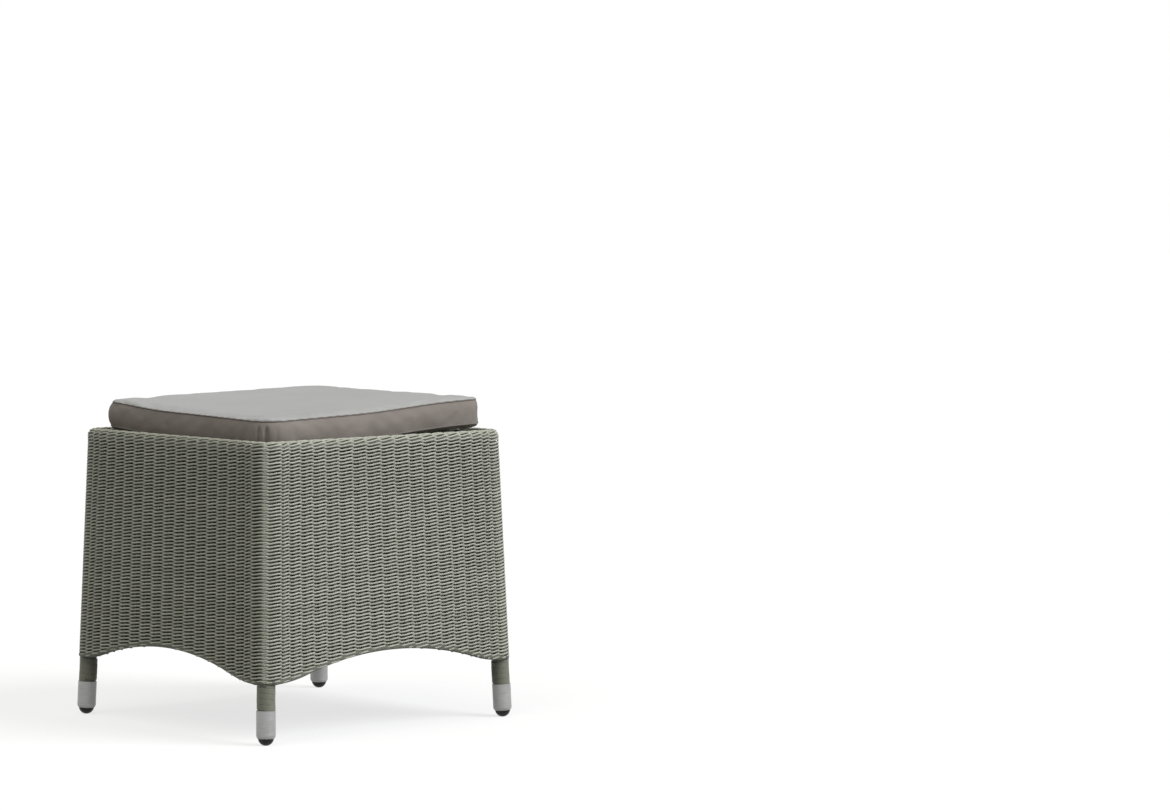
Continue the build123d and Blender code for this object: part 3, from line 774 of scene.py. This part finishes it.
# By corner: near, right, far, left
CORNER_SIGNS = np.array([(-1, -1), (1, -1), (1, 1), (-1, 1)])
CORNER_ROUNDS = np.array([42, 27, 27, 27]) * MM
# Heights of the top seam at the corners. Its rise from the near corner has a steady and a curved part.
SEAM_NEAR, SEAM_RIGHT, SEAM_FAR, SEAM_LEFT = 461 * MM, 480.5 * MM, 482 * MM, 475 * MM
FRONT_STEADY, FRONT_CURVED, FRONT_CURVE = 12.5 * MM, 7 * MM, (0.4, 0.9)
LEFT_STEADY, LEFT_CURVED, LEFT_CURVE = 8.2 * MM, 5.8 * MM, (0.6, 1)
# How far the top and bottom seams lie inside the band's widest line: along the sides, and at the corners
TOP_DRAWN, TOP_CORNERS = 4.5 * MM, np.array([4.5, 3.6, 4.5, 8]) * MM
LOW_DRAWN, LOW_CORNERS = 2.5 * MM, np.array([3.5, 0, 3.5, 4.9]) * MM
CORNER_SPREAD = 60 * MM
BULGE_POWER = 2.2
# The panels swell at once inside their seams, and then slowly towards the middle
TOP_EDGE, TOP_EDGE_WIDTH, TOP_MIDDLE = 4.0 * MM, 5 * MM, 1.5 * MM
LOW_EDGE, LOW_EDGE_WIDTH, LOW_MIDDLE = 6.5 * MM, 6 * MM, 3.0 * MM
DECK_GAP = 0.3 * MM
SEAM_CREASE = 0.55
GRID = 44
GRID_SPREAD = 0.8
BAND_ROWS = 6
SIM_FRAMES = 20
SIM_REACH = 1.3 * MM
SIM_PRESSURE = 2.2
SIM_SHRINK = -0.012
TOP, BAND, BOTTOM = range(3)


def seam_height(x, y):
    """Height of the top seam's surface: the near corner has sunk into the deck's recess."""
    u = np.clip((x / CUSHION_HALF + 1) / 2, 0, 1)
    v = np.clip((y / CUSHION_HALF + 1) / 2, 0, 1)
    front = SEAM_NEAR + FRONT_STEADY * u + FRONT_CURVED * eased(u, *FRONT_CURVE)
    left = SEAM_NEAR + LEFT_STEADY * v + LEFT_CURVED * eased(v, *LEFT_CURVE)
    right = SEAM_RIGHT + (SEAM_FAR - SEAM_RIGHT) * v
    back = SEAM_LEFT + (SEAM_FAR - SEAM_LEFT) * u
    corners = (1 - u) * (1 - v) * SEAM_NEAR + u * (1 - v) * SEAM_RIGHT
    corners += (1 - u) * v * SEAM_LEFT + u * v * SEAM_FAR
    return (1 - v) * front + v * back + (1 - u) * left + u * right - corners


def cushion_side(quarter, share):
    """Plan points and normals of one side, from mid corner at share -1 to mid corner at 1."""
    first, last = CORNER_ROUNDS[quarter], CORNER_ROUNDS[(quarter + 1) % 4]
    start, end = first - CUSHION_HALF, CUSHION_HALF - last
    low, high = start - first * math.pi / 4, end + last * math.pi / 4
    run = low + (high - low) * (share + 1) / 2
    turns = np.clip(start - run, 0, None) / first, np.clip(run - end, 0, None) / last
    x = np.clip(run, start, end) - first * np.sin(turns[0]) + last * np.sin(turns[1])
    y = first * (1 - np.cos(turns[0])) + last * (1 - np.cos(turns[1])) - CUSHION_HALF
    y += CUSHION_DRAWN_IN * np.clip(1 - (run / (CUSHION_HALF - last)) ** 2, 0, 1)
    angle = turns[1] - turns[0]
    points, normals = np.stack([x, y, 0 * x], -1), np.stack([np.sin(angle), -np.cos(angle), 0 * x], -1)
    return turned(points, quarter), turned(normals, quarter)


def drawn_in(points, along, corners):
    """How far a seam is drawn in at plan points, given its measure along the sides and at the corners."""
    away = np.linalg.norm(points[..., None, :2] - CORNER_SIGNS * CUSHION_HALF, axis=-1)
    return along + ((corners - along) * np.exp(-((away / CORNER_SPREAD) ** 2))).sum(-1)


def cushion_plan(along, corners):
    """A square grid of plan points that fills an outline drawn in from the widest one, and its insets."""
    spread = np.linspace(-GRID_SPREAD, GRID_SPREAD, GRID + 1) * math.pi / 2
    share = np.sin(spread) / math.sin(spread[-1])
    sides = []
    for quarter in range(4):
        points, normals = cushion_side(quarter, share)
        sides.append(points - normals * drawn_in(points, along, corners)[:, None])
    front, right, back, left = sides[0], sides[1], sides[2][::-1], sides[3][::-1]
    u, v = ((share + 1) / 2)[None, :, None], ((share + 1) / 2)[:, None, None]
    plan = (1 - v) * front[None] + v * back[None] + (1 - u) * left[:, None] + u * right[:, None]
    plan = plan - (1 - u) * (1 - v) * front[0] - u * (1 - v) * front[-1]
    plan = plan - (1 - u) * v * back[0] - u * v * back[-1]
    edges = (plan[:1], plan[-1:], plan[:, :1], plan[:, -1:])
    return plan, np.min([np.linalg.norm(plan - edge, axis=-1) for edge in edges], axis=0)


def cushion_panel(along, corners, drop, edge, width, middle):
    """The points of the top or bottom panel, whose seam lies a drop below the top seam."""
    plan, inset = cushion_plan(along, corners)
    x, y = plan[..., 0], plan[..., 1]
    flat = np.clip((1 - (x / CUSHION_HALF) ** 2) * (1 - (y / CUSHION_HALF) ** 2), 0, 1)
    swell = edge * (1 - np.exp(-inset / width)) + middle * flat
    return np.stack([x, y, seam_height(x, y) - drop + swell], -1).reshape(-1, 3)


def cushion_mesh():
    """The closed form in quads, numbered by panel, with the points of its rings from low to high."""
    top = cushion_panel(TOP_DRAWN, TOP_CORNERS, 0, TOP_EDGE, TOP_EDGE_WIDTH, TOP_MIDDLE)
    low = cushion_panel(LOW_DRAWN, LOW_CORNERS, CUSHION_BAND, -LOW_EDGE, LOW_EDGE_WIDTH, -LOW_MIDDLE)
    low[:, 2] = np.maximum(low[:, 2], DECK_TOP + DECK_GAP)
    wide = cushion_plan(0, np.zeros(4))[0].reshape(-1, 3)
    side = GRID + 1
    index = np.arange(side * side).reshape(side, side)
    loop = np.concatenate([index[0, :-1], index[:-1, -1], index[-1, :0:-1], index[:0:-1, 0]])
    around = len(loop)
    points, rings = [low, top], [loop]
    for row in range(1, BAND_ROWS):
        part = row / BAND_ROWS
        bulge = abs(2 * part - 1) ** BULGE_POWER
        edge = top if part > 0.5 else low
        ring = low[loop] * (1 - part) + top[loop] * part
        ring[:, :2] = wide[loop, :2] * (1 - bulge) + edge[loop, :2] * bulge
        rings.append(2 * side * side + (row - 1) * around + np.arange(around))
        points.append(ring)
    rings.append(side * side + loop)
    cells = np.stack([index[:-1, :-1], index[:-1, 1:], index[1:, 1:], index[1:, :-1]], -1).reshape(-1, 4)
    faces = [cells[:, ::-1], cells + side * side]
    panels = [np.full(len(cells), BOTTOM), np.full(len(cells), TOP)]
    for near, far in zip(rings, rings[1:]):
        faces.append(np.stack([near, np.roll(near, -1), np.roll(far, -1), far], -1))
        panels.append(np.full(around, BAND))
    mesh = bpy.data.meshes.new("cushion_form")
    mesh.from_pydata(np.concatenate(points).tolist(), [], np.concatenate(faces).tolist())
    mesh.polygons.foreach_set("material_index", np.concatenate(panels).astype(np.int32))
    mesh.polygons.foreach_set("use_smooth", np.ones(len(mesh.polygons), bool))
    mesh.update()
    seam = {tuple(sorted(pair)) for ring in (rings[0], rings[-1]) for pair in zip(ring, np.roll(ring, -1))}
    creases = [SEAM_CREASE * (tuple(sorted(edge.vertices)) in seam) for edge in mesh.edges]
    mesh.attributes.new("crease_edge", "FLOAT", "EDGE").data.foreach_set("value", creases)
    return mesh, rings


def mesh_points(mesh):
    """A mesh's points, one in each row."""
    points = np.empty(len(mesh.vertices) * 3, np.float32)
    mesh.vertices.foreach_get("co", points)
    return points.reshape(-1, 3).astype(float)


def set_points(mesh, points):
    """Moves a mesh's points."""
    mesh.vertices.foreach_set("co", points.astype(np.float32).ravel())
    mesh.update()


def filled_out(piece, held):
    """Fills the cover with pressure, some points held, and keeps the rest within reach of their start."""
    group = piece.vertex_groups.new(name="held")
    group.add(held, 1.0, "REPLACE")
    cloth = piece.modifiers.new("cover", "CLOTH")
    settings = cloth.settings
    settings.quality = 6
    settings.mass = 0.25
    settings.tension_stiffness = settings.compression_stiffness = 12
    settings.bending_stiffness = 1.2
    settings.use_pressure = True
    settings.uniform_pressure_force = SIM_PRESSURE
    settings.effector_weights.gravity = 0
    settings.vertex_group_mass = group.name
    settings.shrink_min = SIM_SHRINK
    start = mesh_points(piece.data)
    scene = bpy.context.scene
    for step in range(1, SIM_FRAMES + 1):
        scene.frame_set(step)
    depsgraph = bpy.context.evaluated_depsgraph_get()
    moved = mesh_points(piece.evaluated_get(depsgraph).data) - start
    piece.modifiers.remove(cloth)
    scene.frame_set(1)
    length = np.linalg.norm(moved, axis=1)
    moved *= (SIM_REACH * np.tanh(length / SIM_REACH) / np.maximum(length, 1e-9))[:, None]
    set_points(piece.data, start + moved)


def subdivided(piece, levels):
    """The piece's mesh, smoothly subdivided."""
    smooth = piece.modifiers.new("smooth", "SUBSURF")
    smooth.levels = levels
    depsgraph = bpy.context.evaluated_depsgraph_get()
    mesh = bpy.data.meshes.new_from_object(piece.evaluated_get(depsgraph))
    piece.modifiers.remove(smooth)
    return mesh


# Folds of the band near its corners, by x - y, which is a run from the near and the far corner
FOLD_RUNS = np.array([-400, -386, -46, -21, -5, 17, 39, 386, 400]) * MM
FOLD_DEPTHS = np.array([1.0, 0.6, 0.5, 3.2, 3.6, 0.8, 0.5, 0.6, 1.0]) * MM
FOLD_WIDTHS = np.array([4, 4, 6, 3.6, 4.6, 5, 6, 4, 4]) * MM
# A fold deepens down from the top seam and dies away towards the bottom one, as shares of the band
FOLD_START, FOLD_END, FOLD_LOSS = (0.08, 0.42), (0.75, 1), 0.6
SEAM_SHARE = 0.02  # what lies higher in the band than this belongs to the top panel
PUCKER = 0.35 * MM
PUCKER_LENGTH, PUCKER_STRAY, PUCKER_WIDTH = 13 * MM, 41 * MM, 14 * MM


def creased(mesh):
    """Sewn cloth's small unevenness: folds in the band near the corners, puckers by the top seam."""
    points = mesh_points(mesh)
    x, y, z = points.T.copy()
    part = (seam_height(x, y) - z) / CUSHION_BAND
    across = (x - y)[:, None] - FOLD_RUNS
    depth = (FOLD_DEPTHS * np.exp(-((across / FOLD_WIDTHS) ** 2))).sum(1)
    depth *= eased(part, *FOLD_START) * (1 - FOLD_LOSS * eased(part, *FOLD_END))
    points[:, :2] *= (1 - depth / np.maximum(np.hypot(x, y), MM))[:, None]
    inset = CUSHION_HALF - np.maximum(np.abs(x), np.abs(y))
    run = np.arctan2(y, x) * CUSHION_HALF
    ripple = np.sin(run / PUCKER_LENGTH * 2 * math.pi + 2 * np.sin(run / PUCKER_STRAY))
    points[:, 2] -= PUCKER * ripple * np.exp(-((inset / PUCKER_WIDTH) ** 2)) * (part < SEAM_SHARE)
    set_points(mesh, points)


def panel_faces(source):
    """The corner points of a mesh's quads, and each quad's panel number."""
    panels = np.empty(len(source.polygons), np.int32)
    source.polygons.foreach_get("material_index", panels)
    corners = np.empty(len(source.loops), np.int32)
    source.loops.foreach_get("vertex_index", corners)
    return corners.reshape(-1, 4), panels


def panel_mesh(source, panel, name):
    """The faces of one panel as a mesh of their own."""
    faces, panels = panel_faces(source)
    used, places = np.unique(faces[panels == panel], return_inverse=True)
    mesh = bpy.data.meshes.new(name)
    mesh.from_pydata(mesh_points(source)[used].tolist(), [], places.reshape(-1, 4).tolist())
    mesh.polygons.foreach_set("use_smooth", np.ones(len(mesh.polygons), bool))
    mesh.update()
    return mesh


def seam_loop(source, panel):
    """Points where a panel meets the band, in order round the cushion."""
    faces, panels = panel_faces(source)
    shared = np.intersect1d(faces[panels == panel], faces[panels == BAND])
    points = mesh_points(source)[shared]
    points = points[np.argsort(np.arctan2(points[:, 1], points[:, 0]))]
    return np.concatenate([points, points[:2]])


# Where the band's strips join: at its right and far corners, and on the back beside its left corner
BAND_JOINS = (GRID, 2 * GRID, 3 * GRID - 3)
SEAM_WIDTH, SEAM_THICKNESS, JOIN_WIDTH = 2.6 * MM, 2.4 * MM, 1.1 * MM
ZIP_SIDE_SHARE = 0.94  # points beyond this share of the half side are held flat for the zip
COVER_LEVELS = 2


def cushion():
    """The cover's three panels, its two seams round the cushion and the joins in its band; the seams and
    joins are real, and their darker colour is painted shade along the seam lines.
    """
    form, rings = cushion_mesh()
    shaped = bpy.data.objects.new("cushion_form", form)
    bpy.context.scene.collection.objects.link(shaped)
    zip_rows = np.concatenate(rings[2:-2])
    zip_rows = zip_rows[mesh_points(form)[zip_rows, 1] > ZIP_SIDE_SHARE * CUSHION_HALF]
    filled_out(shaped, np.concatenate([rings[0], rings[-1], zip_rows]).tolist())
    cover = subdivided(shaped, COVER_LEVELS)
    bpy.data.objects.remove(shaped)
    creased(cover)
    pieces = (
        (TOP, "cover_top_panel", top_cover, ("cover_top", "cushion_foam"), "cover_top_cloth"),
        (BAND, "cover_band_panel", band_cover, ("cover_band",), "cover_band_cloth"),
        (BOTTOM, "cover_bottom_panel", band_cover, ("cover_bottom",), "cover_band_cloth"),
    )
    for panel, name, finish, nodes, slot in pieces:
        piece = new_piece(name, panel_mesh(cover, panel, name), finish, "cushion", *nodes, slot=slot)
    for panel, name in ((TOP, "top"), (BOTTOM, "bottom")):
        strands = Strands()
        strands.add(seam_loop(cover, panel), UP, MID_TINT, SEAM_WIDTH, SEAM_THICKNESS)
        mesh = strands.mesh(f"seam_{name}")
        new_piece(f"cover_seam_{name}", mesh, seam_shade_cover, "cushion", slot="cover_band_cloth")
    strands = Strands()
    points = mesh_points(cover)
    for place in BAND_JOINS:
        line = points[[ring[place] for ring in rings]]
        strands.add(line, line[0] * (1, 1, 0), MID_TINT, JOIN_WIDTH)
    mesh = strands.mesh("seam_corners")
    new_piece("cover_seam_corners", mesh, seam_shade_cover, "cushion", slot="cover_band_cloth")


# Floor, light and the white surround
WHITE = (1, 1, 1, 1)
WORLD_STRENGTH = 0.33
WORLD_TINT = (1, 1, 0.91, 1)
# Suns: strength, angle across, colour and the direction they shine from
SUNS = {
    "key": (2.75, 35, (0.955, 0.975, 1), (0.40, -0.70, 0.62)),
    "fill": (0.9, 50, (1, 0.99, 0.93), (-0.48, -0.10, 0.87)),
}
FLOOR_BOUNCE = 0.15
FLOOR_GLOW = 0.74
FLOOR_HALF = 30
FLOOR_ROUGHNESS = 0.9


def stage():
    """The floor, which keeps the stool's shadow, the surround, which looks white, and the two suns."""
    mesh = bpy.data.meshes.new("floor")
    corners = [(x * FLOOR_HALF, y * FLOOR_HALF, 0) for x, y in ((-1, -1), (1, -1), (1, 1), (-1, 1))]
    mesh.from_pydata(corners, [], [(0, 1, 2, 3)])
    floor = bpy.data.objects.new("floor", mesh)
    bpy.context.scene.collection.objects.link(floor)
    nodes = material_nodes("floor_white")
    seen = nodes.seen()
    bounce, lit = (FLOOR_BOUNCE,) * 3 + (1,), (1 - FLOOR_GLOW,) * 3 + (1,)
    nodes.put(nodes.shader.inputs["Emission Color"], WHITE)
    nodes.put(nodes.shader.inputs["Emission Strength"], nodes.math("MULTIPLY", seen, FLOOR_GLOW))
    mesh.materials.append(nodes.finish(nodes.mix(seen, bounce, lit), FLOOR_ROUGHNESS, specular=0.0))

    world = bpy.data.worlds.new("surround")
    bpy.context.scene.world = world
    nodes = Nodes(world)
    seen = nodes.seen()
    background = nodes.tree.nodes["Background"]
    nodes.put(background.inputs["Color"], nodes.mix(seen, WORLD_TINT, WHITE))
    nodes.put(background.inputs["Strength"], nodes.span(seen, 0, 1, WORLD_STRENGTH, 1))

    for name, (strength, angle, colour, direction) in SUNS.items():
        light = bpy.data.lights.new(name, "SUN")
        light.energy, light.angle, light.color = strength, math.radians(angle), colour
        sun = bpy.data.objects.new(name, light)
        sun.rotation_mode = "QUATERNION"
        sun.rotation_quaternion = Vector(direction).to_track_quat("Z", "Y")
        bpy.context.scene.collection.objects.link(sun)


def frame_materials():
    """Gives the CAD nodes that stay in view their finishes."""
    for name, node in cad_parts.items():
        if name.startswith("foot_sleeve"):
            cover = sleeve_cover
        elif name.startswith("foot_glide"):
            cover = glide_cover
        elif name.startswith("zip"):
            cover = zip_cover
        # The stakes take the inner strands' dark colour, painted shade in the gaps between the rows
        elif name.startswith("stakes"):
            cover = backing_shade_cover
        else:
            cover = frame_cover
        node.data.materials.clear()
        node.data.materials.append(cover)


make_camera()
frame_materials()
woven_walls()
rim_weave()
arch_borders()
deck_weave()
leg_windings()
cushion()
stage()
bpy.context.scene.view_settings.view_transform = "Standard"
